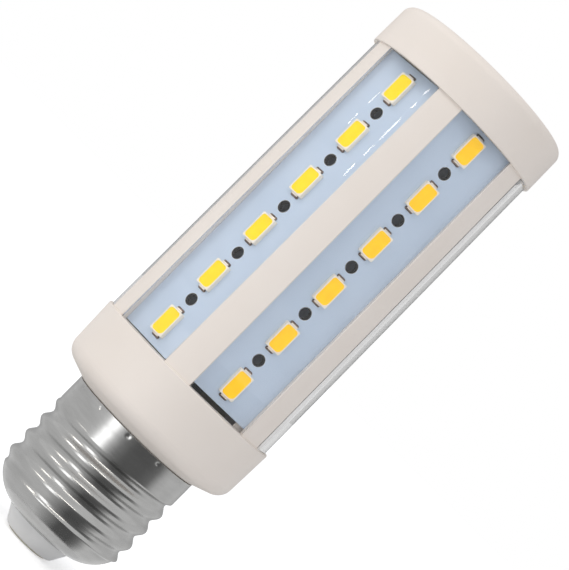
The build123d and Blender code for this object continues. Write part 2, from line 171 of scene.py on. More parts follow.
# %% Build the shared grain group
CLOUD_EDGES = (0.35, 0.7)
CLOUD_SHARE = 0.6
GRAIN_SHARE = 0.4
WEAR_EDGES = (0.3, 0.7)
grain_group, grain_in, grain_out = start_group(
    "surface_grain",
    "ShaderNodeTree",
    {
        "Colour": ("NodeSocketColor", (0.8, 0.8, 0.8, 1)),
        "Deep Colour": ("NodeSocketColor", (0.7, 0.7, 0.7, 1)),
        "Cloud Scale": ("NodeSocketFloat", 60.0),
        "Grain Scale": ("NodeSocketFloat", 2500.0),
        "Smooth Roughness": ("NodeSocketFloat", 0.4),
        "Rough Roughness": ("NodeSocketFloat", 0.5),
        "Stretch": ("NodeSocketVector", (1, 1, 1)),
    },
    {"Colour": "NodeSocketColor", "Roughness": "NodeSocketFloat", "Height": "NodeSocketFloat"},
)
grain_place = add_node(grain_group, "ShaderNodeTexCoord").outputs["Object"]
grain_stretched = add_node(
    grain_group,
    "ShaderNodeVectorMath",
    {0: grain_place, 1: grain_in["Stretch"]},
    operation="MULTIPLY",
).outputs[0]
clouds = add_node(
    grain_group,
    "ShaderNodeTexNoise",
    {"Vector": grain_stretched, "Scale": grain_in["Cloud Scale"], "Detail": 3.0, "Roughness": 0.6},
).outputs[0]
cloud_mask = add_node(
    grain_group,
    "ShaderNodeMapRange",
    {"Value": clouds, "From Min": CLOUD_EDGES[0], "From Max": CLOUD_EDGES[1]},
).outputs[0]
cloud_colour = add_node(
    grain_group,
    "ShaderNodeMix",
    {0: cloud_mask, 6: grain_in["Colour"], 7: grain_in["Deep Colour"]},
    data_type="RGBA",
).outputs[2]
fine_grain = add_node(
    grain_group,
    "ShaderNodeTexNoise",
    {"Vector": grain_stretched, "Scale": grain_in["Grain Scale"], "Detail": 2.0},
).outputs[0]
grain_part = maths(grain_group, "MULTIPLY", fine_grain, GRAIN_SHARE)
worn = maths(grain_group, "MULTIPLY_ADD", clouds, CLOUD_SHARE, grain_part)
roughness = add_node(
    grain_group,
    "ShaderNodeMapRange",
    {
        "Value": worn,
        "From Min": WEAR_EDGES[0],
        "From Max": WEAR_EDGES[1],
        "To Min": grain_in["Smooth Roughness"],
        "To Max": grain_in["Rough Roughness"],
    },
).outputs[0]
grain_group.links.new(cloud_colour, grain_out["Colour"])
grain_group.links.new(roughness, grain_out["Roughness"])
grain_group.links.new(fine_grain, grain_out["Height"])
print("surface_grain:", len(grain_group.nodes), "nodes")

# %% [markdown]
# ## Finishes
# A finish is a Principled shader fed by the grain group. Bump depth is a real length, so a
# mould texture of a few thousandths of a millimetre stays as fine as it is. Plain numbers,
# such as Metallic or a glow, are set on the shader's own sockets.

# %% Make a finish from the grain group


def empty_material(name):
    """A material whose tree is still empty, and that tree."""
    material = bpy.data.materials.new(name)
    material.use_nodes = True
    material.node_tree.nodes.clear()
    return material, material.node_tree


def grained_finish(name, colour, deep_colour, roughness_range, depth, clouds=60.0, grain=2500.0,
                   stretch=(1, 1, 1), **plain):
    """A material with clouded colour and grained gloss. depth is its bump in metres."""
    material, tree = empty_material(name)
    grained = add_node(
        tree,
        "ShaderNodeGroup",
        {
            "Colour": colour,
            "Deep Colour": deep_colour,
            "Cloud Scale": clouds,
            "Grain Scale": grain,
            "Smooth Roughness": roughness_range[0],
            "Rough Roughness": roughness_range[1],
            "Stretch": stretch,
        },
        node_tree=grain_group,
    ).outputs
    bump = add_node(
        tree,
        "ShaderNodeBump",
        {"Height": grained["Height"], "Strength": 1.0, "Distance": depth},
    )
    surface = add_node(
        tree,
        "ShaderNodeBsdfPrincipled",
        {
            "Base Color": grained["Colour"],
            "Roughness": grained["Roughness"],
            "Normal": bump.outputs[0],
        },
    )
    for label, value in plain.items():
        surface.inputs[label.replace("_", " ")].default_value = value
    add_node(tree, "ShaderNodeOutputMaterial", {"Surface": surface.outputs[0]})
    return material


def dress(material, *names):
    """Give CAD nodes a finish. Their meshes stay as they are."""
    for name in names:
        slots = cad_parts[name].data.materials
        if len(slots) == 0:
            slots.append(material)
        for index in range(len(slots)):
            slots[index] = material


# %% [markdown]
# The housing and its cap are one warm white plastic with a satin face. The boards are
# aluminium under a pale blue-white lacquer, a little glossier than the plastic.

# %% Finish the mouldings and the boards
white_moulding = grained_finish(
    "white_moulding", tone(240, 232, 224), tone(237, 228, 219), (0.45, 0.55), 0.004 * MM,
    clouds=45.0, Specular_IOR_Level=0.4,
)
dress(white_moulding, "housing", "top_cap")
board_lacquer = grained_finish(
    "board_lacquer", tone(198, 214, 233), tone(192, 209, 229), (0.32, 0.44), 0.002 * MM,
    clouds=90.0,
)
dress(board_lacquer, *[f"led_board_{number}" for number in side_numbers])
print("mouldings and boards dressed")

# %% [markdown]
# The screw shell is nickel-plated sheet. Rolling leaves faint lines round the axis, so its
# grain is squeezed along the height. The contact is tinned brass, the insulator a pressed
# pale ceramic.

# %% Finish the base
rolled_nickel = grained_finish(
    "rolled_nickel", tone(172, 172, 171), tone(162, 162, 161), (0.14, 0.24), 0.002 * MM,
    clouds=120.0, grain=900.0, stretch=(1, 1, 6), Metallic=1.0,
)
tinned_contact = grained_finish(
    "tinned_contact", tone(176, 172, 162), tone(150, 144, 132), (0.3, 0.45), 0.004 * MM,
    clouds=400.0, Metallic=1.0,
)
pressed_insulator = grained_finish(
    "pressed_insulator", tone(238, 238, 237), tone(229, 229, 228), (0.4, 0.55), 0.004 * MM,
    clouds=150.0,
)
dress(rolled_nickel, "screw_shell")
dress(tinned_contact, "centre_contact")
dress(pressed_insulator, "insulator")
print("base dressed")

# %% [markdown]
# Inside stand the driver board and its parts, which only a cut bulb shows. Each still has
# its own finish: woven laminate, dipped film capacitor, sleeved can, moulded rectifier,
# glazed resistors and insulated wire.

# %% Finish the inner parts
inner_finishes = {
    "driver_laminate": (tone(196, 186, 138), tone(180, 168, 118), (0.4, 0.55), ("driver_board",)),
    "dipped_red": (tone(160, 48, 34), tone(140, 38, 28), (0.2, 0.35), ("film_capacitor",)),
    "sleeve_black": (tone(38, 40, 48), tone(30, 31, 38), (0.25, 0.4), ("smoothing_capacitor",)),
    "moulded_black": (tone(44, 44, 45), tone(36, 36, 37), (0.5, 0.65), ("bridge_rectifier",)),
    "resistor_glaze": (
        tone(206, 182, 142), tone(190, 164, 124), (0.25, 0.4), ("fuse_resistor", "bleed_resistor"),
    ),
    "wire_red": (
        tone(176, 40, 34), tone(160, 34, 30), (0.35, 0.45), ("live_wire", "led_wire_positive"),
    ),
    "wire_black": (
        tone(38, 38, 39), tone(32, 32, 33), (0.35, 0.45),
        ("neutral_wire", "led_wire_negative", "link_wires"),
    ),
}
for name, (colour, deep_colour, roughness_range, nodes) in inner_finishes.items():
    finish = grained_finish(name, colour, deep_colour, roughness_range, 0.004 * MM, clouds=300.0)
    dress(finish, *nodes)
print(len(inner_finishes), "inner finishes")

# %% [markdown]
# ## Clear covers
# Each window is closed by a curved clear strip a millimetre thick. Refraction makes its
# edges read dark where one looks along them. Its index is set a little under the real
# plastic's, so that the white room mirrors less in it and the chips keep their colour.
# Rays that carry lamplight pass straight through, or the boards behind would lie in
# darkness.

# %% Finish the covers
COVER_INDEX = 1.36
clear_plastic, clear_tree = empty_material("clear_plastic")
clear_body = add_node(
    clear_tree,
    "ShaderNodeBsdfPrincipled",
    {"Base Color": WHITE, "Roughness": 0.02, "IOR": COVER_INDEX, "Transmission Weight": 1.0},
).outputs[0]
clear_pass = add_node(clear_tree, "ShaderNodeBsdfTransparent", {"Color": WHITE}).outputs[0]
light_path = add_node(clear_tree, "ShaderNodeLightPath").outputs
lamp_ray = maths(clear_tree, "MAXIMUM", light_path["Is Shadow Ray"], light_path["Is Diffuse Ray"])
clear_mix = add_node(clear_tree, "ShaderNodeMixShader", {0: lamp_ray, 1: clear_body, 2: clear_pass})
add_node(clear_tree, "ShaderNodeOutputMaterial", {"Surface": clear_mix.outputs[0]})
dress(clear_plastic, *[f"cover_{number}" for number in side_numbers])
print("covers dressed")

# %% [markdown]
# ## The rolled screw shell
# The shell is one sheet, rolled so that inside and outside follow the same round thread.
# Its shape is a rule: every point's radius follows from its height and its angle. Geometry
# Nodes bends a flat grid by that rule. The rows of the grid run up the outside and back
# down the inside, so the sheet closes on itself and has a real thickness. The dome below
# the thread is an arc through three points: its mouth, its shoulder and its top.

# %% Read the shell's sizes from the frame
MOUTH_RADIUS = 6.85 * MM
SHOULDER_RADIUS = 10.35 * MM
SHOULDER_HEIGHT = 1.55 * MM
shell_low, shell_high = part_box("screw_shell")
shell_sizes = {
    "Bottom": shell_low[2],
    "Top": shell_high[2],
    "Crest Radius": shell_high[0],
    "Root Radius": 12.27 * MM,
    "Pitch": 3.629 * MM,
    "First Turn": 7.0 * MM,
    "Start Angle": radians(242.6),
    "Dome Height": 4.5 * MM,
    "Dome Top Radius": 12.6 * MM,
    "Collar Height": 5.0 * MM,
    "Collar Radius": 13.05 * MM,
    "Collar Ease": 0.3 * MM,
    "Wall": 0.3 * MM,
    "Punch Angle": radians(5.0),
    "Punch Below Edge": 0.6 * MM,
    "Punch Radius": 0.6 * MM,
    "Punch Depth": 0.18 * MM,
}


def circle_through(first, second, third):
    """Centre and radius of the circle through three points of a plane."""
    (ax, ay), (bx, by), (cx, cy) = first, second, third
    scale = 2 * (ax * (by - cy) + bx * (cy - ay) + cx * (ay - by))
    a2, b2, c2 = ax * ax + ay * ay, bx * bx + by * by, cx * cx + cy * cy
    x = (a2 * (by - cy) + b2 * (cy - ay) + c2 * (ay - by)) / scale
    y = (a2 * (cx - bx) + b2 * (ax - cx) + c2 * (bx - ax)) / scale
    return x, y, hypot(ax - x, ay - y)


dome_x, dome_z, dome_arc = circle_through(
    (MOUTH_RADIUS, shell_low[2]),
    (SHOULDER_RADIUS, shell_low[2] + SHOULDER_HEIGHT),
    (shell_sizes["Dome Top Radius"], shell_low[2] + shell_sizes["Dome Height"]),
)
shell_sizes.update({"Dome Centre X": dome_x, "Dome Centre Z": dome_z, "Dome Arc": dome_arc})
print(f"shell {(shell_high[2] - shell_low[2]) / MM:.1f} mm tall, dome arc {dome_arc / MM:.2f} mm")

# %% [markdown]
# A grid numbers its vertices column by column. Its index is nudged by a hundredth before
# the division, and rows are told apart half-way between whole numbers, so that rounding
# can't move a vertex to its neighbour's place.

# %% Turn a grid's index into angle and height
INDEX_NUDGE = 0.01
HALF_ROW = 0.5
shell_inputs = {label: ("NodeSocketFloat", value) for label, value in shell_sizes.items()}
shell_inputs.update(
    {
        "Around": ("NodeSocketInt", 360),
        "Outer Rows": ("NodeSocketInt", 150),
        "Inner Rows": ("NodeSocketInt", 44),
        "Finish": ("NodeSocketMaterial", None),
    }
)
shell_tree, shell_in, shell_out = start_group(
    "rolled_shell", "GeometryNodeTree", shell_inputs, {"Geometry": "NodeSocketGeometry"}
)


def shell_maths(operation, *values):
    """Math in the shell's tree."""
    return maths(shell_tree, operation, *values)


rows = shell_maths("ADD", shell_in["Outer Rows"], shell_in["Inner Rows"])
row_vertices = shell_maths("ADD", rows, 1.0)
shell_grid = add_node(
    shell_tree,
    "GeometryNodeMeshGrid",
    {"Vertices X": shell_maths("ADD", shell_in["Around"], 1.0), "Vertices Y": row_vertices},
).outputs["Mesh"]
index = add_node(shell_tree, "GeometryNodeInputIndex").outputs[0]
nudged = shell_maths("ADD", index, INDEX_NUDGE)
column = shell_maths("FLOOR", shell_maths("DIVIDE", nudged, row_vertices))
row = shell_maths("SUBTRACT", index, shell_maths("MULTIPLY", column, row_vertices))
angle = shell_maths("MULTIPLY", shell_maths("DIVIDE", column, shell_in["Around"]), 2 * pi)
rim_row = shell_maths("SUBTRACT", shell_in["Outer Rows"], HALF_ROW)
last_row = shell_maths("GREATER_THAN", row, shell_maths("SUBTRACT", rows, HALF_ROW))
past_rim = shell_maths("GREATER_THAN", row, rim_row)
inside = shell_maths("SUBTRACT", past_rim, last_row)
outer_steps = shell_maths("SUBTRACT", shell_in["Outer Rows"], 1.0)
rise_outside = shell_maths("DIVIDE", row, outer_steps)
inner_steps = shell_maths("SUBTRACT", shell_in["Inner Rows"], 1.0)
inner_row = shell_maths("SUBTRACT", row, shell_in["Outer Rows"])
rise_inside = shell_maths("SUBTRACT", 1.0, shell_maths("DIVIDE", inner_row, inner_steps))


def choose(mask, when_off, when_on):
    """One of two values by a mask of 0 or 1, or a blend of them."""
    part_on = shell_maths("MULTIPLY", mask, when_on)
    part_off = shell_maths("MULTIPLY", shell_maths("SUBTRACT", 1.0, mask), when_off)
    return shell_maths("ADD", part_on, part_off)


rise = choose(last_row, choose(inside, rise_outside, rise_inside), 0.0)
tall = shell_maths("SUBTRACT", shell_in["Top"], shell_in["Bottom"])
height = shell_maths("MULTIPLY_ADD", rise, tall, shell_in["Bottom"])
print("grid rule: a column is an angle, a row is a height")

# %% [markdown]
# The radius is read in steps. A cosine of the turn gives the round thread. The dome's arc
# caps it below, where the smaller of the two radii counts, and towards the collar the
# thread blends into a plain cylinder.

# %% Work out the radius
FLARE_SLOPE = 1.6
THREAD_BLEND = 0.25 * MM
climb = shell_maths("SUBTRACT", height, shell_in["First Turn"])
swing = shell_maths("SUBTRACT", angle, shell_in["Start Angle"])
turns = shell_maths(
    "SUBTRACT",
    shell_maths("DIVIDE", climb, shell_in["Pitch"]),
    shell_maths("DIVIDE", swing, 2 * pi),
)
cosine = shell_maths("COSINE", shell_maths("MULTIPLY", turns, 2 * pi))
wave = shell_maths("MULTIPLY_ADD", cosine, 0.5, 0.5)
crest_rise = shell_maths("SUBTRACT", shell_in["Crest Radius"], shell_in["Root Radius"])
thread_radius = shell_maths("MULTIPLY_ADD", wave, crest_rise, shell_in["Root Radius"])
above_centre = shell_maths("SUBTRACT", height, shell_in["Dome Centre Z"])
arc_square = shell_maths(
    "SUBTRACT",
    shell_maths("POWER", shell_in["Dome Arc"], 2.0),
    shell_maths("MULTIPLY", above_centre, above_centre),
)
arc_reach = shell_maths("SQRT", shell_maths("MAXIMUM", arc_square, 0.0))
dome_radius = shell_maths("ADD", shell_in["Dome Centre X"], arc_reach)
dome_top = shell_maths("ADD", shell_in["Bottom"], shell_in["Dome Height"])
above_dome = shell_maths("SUBTRACT", height, dome_top)
flare_radius = shell_maths("MULTIPLY_ADD", above_dome, FLARE_SLOPE, shell_in["Dome Top Radius"])
limit = choose(shell_maths("GREATER_THAN", above_dome, 0.0), dome_radius, flare_radius)
body_radius = shell_maths("SMOOTH_MIN", thread_radius, limit, THREAD_BLEND)
collar_start = shell_maths("SUBTRACT", shell_in["Top"], shell_in["Collar Height"])
onto_collar = add_node(
    shell_tree,
    "ShaderNodeMapRange",
    {
        "Value": height,
        "From Min": shell_maths("SUBTRACT", collar_start, shell_in["Collar Ease"]),
        "From Max": shell_maths("ADD", collar_start, shell_in["Collar Ease"]),
    },
    interpolation_type="SMOOTHSTEP",
).outputs[0]
plain_radius = choose(onto_collar, body_radius, shell_in["Collar Radius"])
print("radius rule: thread, dome and collar")

# %% [markdown]
# Twelve punch marks just below the shell's edge lock it to the housing's neck. The angle is
# folded into one twelfth of a turn, so a single dent serves all twelve.

# %% Press the punch marks
PUNCH_COUNT = 12
punch_step = 2 * pi / PUNCH_COUNT
turned = shell_maths("SUBTRACT", angle, shell_in["Punch Angle"])
folded = shell_maths("WRAP", turned, punch_step / 2, -punch_step / 2)
punch_aside = shell_maths("MULTIPLY", folded, shell_in["Collar Radius"])
punch_level = shell_maths("SUBTRACT", shell_in["Top"], shell_in["Punch Below Edge"])
punch_above = shell_maths("SUBTRACT", height, punch_level)
punch_distance = shell_maths(
    "SQRT",
    shell_maths(
        "ADD",
        shell_maths("MULTIPLY", punch_aside, punch_aside),
        shell_maths("MULTIPLY", punch_above, punch_above),
    ),
)
dent = add_node(
    shell_tree,
    "ShaderNodeMapRange",
    {
        "Value": punch_distance,
        "From Min": 0.0,
        "From Max": shell_in["Punch Radius"],
        "To Min": shell_in["Punch Depth"],
        "To Max": 0.0,
    },
    interpolation_type="SMOOTHSTEP",
).outputs[0]
outer_radius = shell_maths("SUBTRACT", plain_radius, dent)
print(PUNCH_COUNT, "punch marks")

# %% [markdown]
# The inner rows lie one wall inside the outer ones. On the dome the sheet turns inwards, so
# there most of the wall is laid on upwards, and less of it towards the axis.

# %% Close the sheet and give it its finish
DOME_THINNING = 0.6
DOME_LIFT = 0.9
MERGE_DISTANCE = 0.0005 * MM
on_dome = add_node(
    shell_tree,
    "ShaderNodeMapRange",
    {"Value": height, "From Min": dome_top, "From Max": shell_in["Bottom"]},
).outputs[0]
wall_share = shell_maths("MULTIPLY_ADD", on_dome, -DOME_THINNING, 1.0)
wall_inwards = shell_maths("MULTIPLY", shell_in["Wall"], wall_share)
lift_share = shell_maths("MULTIPLY", on_dome, DOME_LIFT)
wall_upwards = shell_maths("MULTIPLY", shell_in["Wall"], lift_share)
radius = shell_maths("SUBTRACT", outer_radius, shell_maths("MULTIPLY", inside, wall_inwards))
level = shell_maths("ADD", height, shell_maths("MULTIPLY", inside, wall_upwards))
shell_place = add_node(
    shell_tree,
    "ShaderNodeCombineXYZ",
    {
        "X": shell_maths("MULTIPLY", radius, shell_maths("COSINE", angle)),
        "Y": shell_maths("MULTIPLY", radius, shell_maths("SINE", angle)),
        "Z": level,
    },
).outputs[0]
bent_grid = add_node(
    shell_tree, "GeometryNodeSetPosition", {"Geometry": shell_grid, "Position": shell_place}
).outputs[0]
closed_grid = add_node(
    shell_tree, "GeometryNodeMergeByDistance", {"Geometry": bent_grid, "Distance": MERGE_DISTANCE}
).outputs[0]
smooth_grid = add_node(
    shell_tree, "GeometryNodeSetShadeSmooth", {"Geometry": closed_grid}
).outputs[0]
real_grid = add_node(
    shell_tree, "GeometryNodeRealizeInstances", {"Geometry": smooth_grid}
).outputs[0]
finished_grid = add_node(
    shell_tree, "GeometryNodeSetMaterial", {"Geometry": real_grid, "Material": shell_in["Finish"]}
).outputs[0]
shell_tree.links.new(finished_grid, shell_out["Geometry"])
print("rolled_shell:", len(shell_tree.nodes), "nodes")

# %% [markdown]
# A tree becomes a piece in the same way each time: an empty mesh gets the modifier, its
# inputs are set by the sockets' identifiers, the evaluated result is copied to a plain
# mesh, and the modifier goes. Faces are then made to point outwards, and edges sharper
# than the given angle stay crisp.

# %% Turn a tree into a plain piece


def grow_piece(name, tree, sharp_angle=None, **values):
    """An object with the plain mesh that a geometry tree makes from the given inputs."""
    piece = add_object(name, bpy.data.meshes.new(name))
    modifier = piece.modifiers.new("grow", "NODES")
    modifier.node_group = tree
    for item in tree.interface.items_tree:
        label = item.name.replace(" ", "_")
        if item.in_out == "INPUT" and label in values:
            modifier[item.identifier] = values[label]
    bpy.context.view_layer.update()
    depsgraph = bpy.context.evaluated_depsgraph_get()
    plain = bpy.data.meshes.new_from_object(piece.evaluated_get(depsgraph))
    piece.modifiers.clear()
    piece.data = plain
    form = bmesh.new()
    form.from_mesh(plain)
    bmesh.ops.recalc_face_normals(form, faces=form.faces)
    form.to_mesh(plain)
    form.free()
    plain.shade_smooth()
    if sharp_angle is not None:
        plain.set_sharp_from_angle(angle=sharp_angle)
    plain.name = name
    return piece


def seat(piece, node):
    """A finished piece rides on the bulb in the place of one CAD node."""
    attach(piece, "root")
    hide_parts(node)
    print(f"{piece.name}: {len(piece.data.polygons)} faces for {node}")


rolled_shell = grow_piece("rolled_shell", shell_tree, Finish=rolled_nickel)
seat(rolled_shell, "screw_shell")

# %% [markdown]
# ## The chips
# A chip is a white frame with a shallow tray, filled with yellow phosphor that sinks a
# little towards its middle, and a tinned foot at each end in a fillet of solder. Each
# shape is lofted once from rounded rectangles, and Geometry Nodes sets six of them along
# each board. One corner of the tray is cut wider, which marks the chip's cathode.

# %% Loft rounded rectangles


def rounded_ring(form, width, length, corners, level, middle=0.0, steps=4):
    """The vertices of one rounded rectangle, level metres out from the board."""
    ring = []
    signs = ((1, 1), (-1, 1), (-1, -1), (1, -1))
    for quarter, ((side, end), corner) in enumerate(zip(signs, corners)):
        for step in range(steps + 1):
            turn = (quarter + step / steps) * pi / 2
            across = side * (width / 2 - corner) + corner * cos(turn)
            along = end * (length / 2 - corner) + corner * sin(turn)
            ring.append(form.verts.new((level, across, middle + along)))
    return ring


def bridge(form, rings):
    """Faces from each ring of vertices to the next."""
    for lower, upper in zip(rings, rings[1:]):
        for first in range(len(lower)):
            second = (first + 1) % len(lower)
            form.faces.new((lower[first], lower[second], upper[second], upper[first]))


def cap_and_bridge(form, rings):
    """A closed skin: a face on the first and the last ring, and the sides between."""
    form.faces.new(rings[0])
    form.faces.new(rings[-1])
    bridge(form, rings)


def shape_from(name, form):
    """The object that holds a finished form, with its faces turned outwards."""
    bmesh.ops.recalc_face_normals(form, faces=form.faces)
    mesh = bpy.data.meshes.new(name)
    form.to_mesh(mesh)
    form.free()
    return add_object(name, mesh)


def loft(name, sections):
    """A closed mesh through rounded rectangles: (width, length, corners, level) each."""
    form = bmesh.new()
    cap_and_bridge(form, [rounded_ring(form, *section) for section in sections])
    return shape_from(name, form)


# %% Model one chip from the frame's sizes
board_low, board_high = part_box("led_board_1")
body_low, body_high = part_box("led_bodies_1")
phosphor_low, phosphor_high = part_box("led_phosphor_1")
solder_low, solder_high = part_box("led_terminals_1")
board_front = -board_low[1]
chip_height = -body_low[1] - board_front
chip_width = body_high[0] - body_low[0]
tray_width = phosphor_high[0] - phosphor_low[0]
rim_width = (chip_width - tray_width) / 2
chip_length = 5.2 * MM
tray_length = chip_length - 2 * rim_width
tray_depth = 0.3 * MM
tray_floor_gap = 0.02 * tray_depth
frame_corners = (0.22 * MM,) * 4
tray_corners = (0.52 * MM, 0.52 * MM, 0.52 * MM, 0.85 * MM)
rim_ease = 0.05 * MM
mouth_corners = tuple(corner + rim_ease / 2 for corner in tray_corners)


def frame_section(inset, level):
    """The frame's outline, narrower and shorter by the inset."""
    return chip_width - inset, chip_length - inset, frame_corners, level


def tray_section(inset, level, corners=tray_corners):
    """The tray's outline, narrower and shorter by the inset."""
    return tray_width - inset, tray_length - inset, corners, level


chip_frame = loft(
    "chip_frame",
    [
        frame_section(0.0, 0.0),
        frame_section(0.0, chip_height - 2 * rim_ease),
        frame_section(rim_ease, chip_height - rim_ease / 2),
        frame_section(3 * rim_ease, chip_height),
        tray_section(-rim_ease, chip_height, mouth_corners),
        tray_section(0.0, chip_height - rim_ease),
        tray_section(rim_ease, chip_height - tray_depth),
    ],
)
phosphor_fill = loft(
    "phosphor_fill",
    [
        tray_section(rim_ease, chip_height - tray_depth + tray_floor_gap),
        tray_section(rim_ease / 2, chip_height - rim_ease),
        tray_section(5 * rim_ease, chip_height - 1.7 * rim_ease),
        (tray_width / 2, tray_length / 2, (tray_width / 8,) * 4, chip_height - 2 * rim_ease),
    ],
)
print(f"chip {chip_width / MM:.2f} x {chip_length / MM:.2f} x {chip_height / MM:.2f} mm")

# %% [markdown]
# The solder is a low pillow that climbs to the foot, dark brown all over as painted shade for its
# shaded edge. The foot itself is a small bent tab of bright tin against the chip's end.
# each row is one section: its share of the width and of the length, its corner in
# millimetres, and its share of the height and of the way out from the chip's end.

# %% Model the foot and its solder
solder_width = solder_high[0] - solder_low[0]
solder_length = 0.6 * MM
solder_height = -solder_low[1] - board_front
half_way = solder_length / 2
solder_profile = [
    (1.0, 1.0, 0.3, 0.0, 1.0),
    (0.96, 0.94, 0.28, 0.3, 0.96),
    (0.82, 0.7, 0.22, 0.62, 0.75),
    (0.6, 0.36, 0.12, 0.86, 0.42),
]
foot_width = 0.78 * solder_width
foot_length = 0.28 * MM
foot_corner = 0.06 * MM
foot_beyond = 0.14 * MM
foot_start = 0.3 * solder_height
foot_bend = 0.92 * solder_height
foot_tip = (0.72 * solder_width, 0.2 * MM, 0.04 * MM, solder_height, 0.11 * MM)


def end_loft(name, sections):
    """A shape for both ends of a chip: the sections' middle lies beside each end."""
    form = bmesh.new()
    for end in (-1, 1):
        rings = []
        for width, length, corner, level, beyond in sections:
            middle = end * (chip_length / 2 + beyond)
            rings.append(rounded_ring(form, width, length, (corner,) * 4, level, middle))
        cap_and_bridge(form, rings)
    return shape_from(name, form)


solder_sections = [
    (solder_width * wide, solder_length * long, corner * MM, solder_height * high, half_way * out)
    for wide, long, corner, high, out in solder_profile
]
solder_fillet = end_loft("solder_fillet", solder_sections)
chip_foot = end_loft(
    "chip_foot",
    [
        (foot_width, foot_length, foot_corner, foot_start, foot_beyond),
        (foot_width, foot_length, foot_corner, foot_bend, foot_beyond),
        foot_tip,
    ],
)
print(f"solder {solder_width / MM:.2f} x {solder_length / MM:.2f} x {solder_height / MM:.2f} mm")

# %% [markdown]
# ## Setting shapes along a board
# One tree serves the frames, fillings, solder, feet, and the rims and walls of the holes: a
# row of points in the board's face carries the shape, and a turn about the bulb's axis
# brings the row to its side. The inputs are the shape, how many, their spacing and the
# side's own angle and height, so the same tree makes thirty-six pieces.

# %% Build the row tree
CHIP_COUNT = 6
row_tree, row_in, row_out = start_group(
    "row_on_board",
    "GeometryNodeTree",
    {
        "Shape": ("NodeSocketObject", None),
        "Count": ("NodeSocketInt", CHIP_COUNT),
        "Spacing": ("NodeSocketFloat", 10.0 * MM),
        "First Height": ("NodeSocketFloat", 0.0),
        "Board Radius": ("NodeSocketFloat", board_front),
        "Side Angle": ("NodeSocketFloat", 0.0),
        "Finish": ("NodeSocketMaterial", None),
    },
    {"Geometry": "NodeSocketGeometry"},
)
row_start = add_node(
    row_tree, "ShaderNodeCombineXYZ", {"X": row_in["Board Radius"], "Z": row_in["First Height"]}
).outputs[0]
row_step = add_node(row_tree, "ShaderNodeCombineXYZ", {"Z": row_in["Spacing"]}).outputs[0]
row_points = add_node(
    row_tree,
    "GeometryNodeMeshLine",
    {"Count": row_in["Count"], "Start Location": row_start, "Offset": row_step},
).outputs[0]
row_shape = add_node(
    row_tree, "GeometryNodeObjectInfo", {"Object": row_in["Shape"]}
).outputs["Geometry"]
row_copies = add_node(
    row_tree, "GeometryNodeInstanceOnPoints", {"Points": row_points, "Instance": row_shape}
).outputs[0]
row_turn = add_node(row_tree, "ShaderNodeCombineXYZ", {"Z": row_in["Side Angle"]}).outputs[0]
row_rotation = add_node(row_tree, "FunctionNodeEulerToRotation", {0: row_turn}).outputs[0]
row_turned = add_node(
    row_tree, "GeometryNodeTransform", {"Geometry": row_copies, "Rotation": row_rotation}
).outputs[0]
row_real = add_node(row_tree, "GeometryNodeRealizeInstances", {"Geometry": row_turned}).outputs[0]
row_finished = add_node(
    row_tree, "GeometryNodeSetMaterial", {"Geometry": row_real, "Material": row_in["Finish"]}
).outputs[0]
row_tree.links.new(row_finished, row_out["Geometry"])
print("row_on_board:", len(row_tree.nodes), "nodes")

# %% [markdown]
# The frames are a warm white resin. The filling's tone runs from amber on the first side to lemon
# on the sixth. Each row of the table is a side's light tone, its deep tone and the strength of a
# painted glow, which makes the filling shine by itself though it is no lamp; the glow is strongest
# on the first side and weakest on the sixth.

# %% Finish the chips
frame_resin = grained_finish(
    "frame_resin", tone(253, 247, 234), tone(250, 240, 222), (0.35, 0.5), 0.002 * MM, clouds=500.0
)
# The solder's dark brown is painted shade, standing in for the shade along the fillet's edge.
browned_solder = grained_finish(
    "browned_solder", tone(126, 106, 94), tone(84, 68, 58), (0.25, 0.5), 0.01 * MM, clouds=900.0,
    Metallic=0.8,
)
bright_foot = grained_finish(
    "bright_foot", tone(236, 228, 218), tone(214, 203, 190), (0.3, 0.5), 0.006 * MM, clouds=900.0,
    Metallic=0.6,
)
phosphor_tones_and_glow = {
    1: ((255, 203, 10), (254, 192, 6), 0.3),
    2: ((255, 208, 10), (254, 198, 6), 0.28),
    3: ((255, 213, 8), (254, 204, 6), 0.26),
    4: ((255, 217, 8), (254, 208, 6), 0.24),
    5: ((254, 220, 5), (252, 212, 3), 0.2),
    6: ((254, 225, 3), (252, 216, 1), 0.14),
}
# Emission here is a painted glow: the filling shines though the bulb is unlit.
glowing_phosphors = {
    number: grained_finish(
        f"phosphor_{number}", tone(*light), tone(*deep), (0.45, 0.55), 0.003 * MM, clouds=700.0,
        grain=6000.0, Specular_IOR_Level=0.2, Emission_Color=tone(*light), Emission_Strength=glow,
    )
    for number, (light, deep, glow) in phosphor_tones_and_glow.items()
}
print(len(glowing_phosphors), "tones_with_painted_glow of phosphor")

# %% [markdown]
# A hole in a board is eased at its mouth. The wall and the ease are lined with a near-black finish,
# which is painted shade: the inside of a hole lies in shade. Where the lacquer stops it leaves a
# thin bright edge. Both are rings: a small section carried round the hole. The wall is a thin
# lining, which stands a hair above the lacquer so that the painted shade starts right at the mouth.

# %% Model the rim and the wall of a hole
HOLE_RADIUS = 1.02 * MM
MOUTH_WIDTH = 0.1 * MM
RIM_THICKNESS = 0.025 * MM
RIM_CORNERS = 6
LINING = 0.04 * MM
MOUTH_LIFT = 0.01 * MM
MOUTH_DROP = 0.02 * MM
LINING_TOP = 0.06 * MM
RING_STEPS = 32


def ring_shape(name, section):
    """A closed ring round the X axis, from a section of (level, distance) points."""
    form = bmesh.new()
    rings = []
    for step in range(RING_STEPS):
        turn = 2 * pi * step / RING_STEPS
        places = [(level, far * cos(turn), far * sin(turn)) for level, far in section]
        rings.append([form.verts.new(place) for place in places])
    bridge(form, rings + rings[:1])
    return shape_from(name, form)


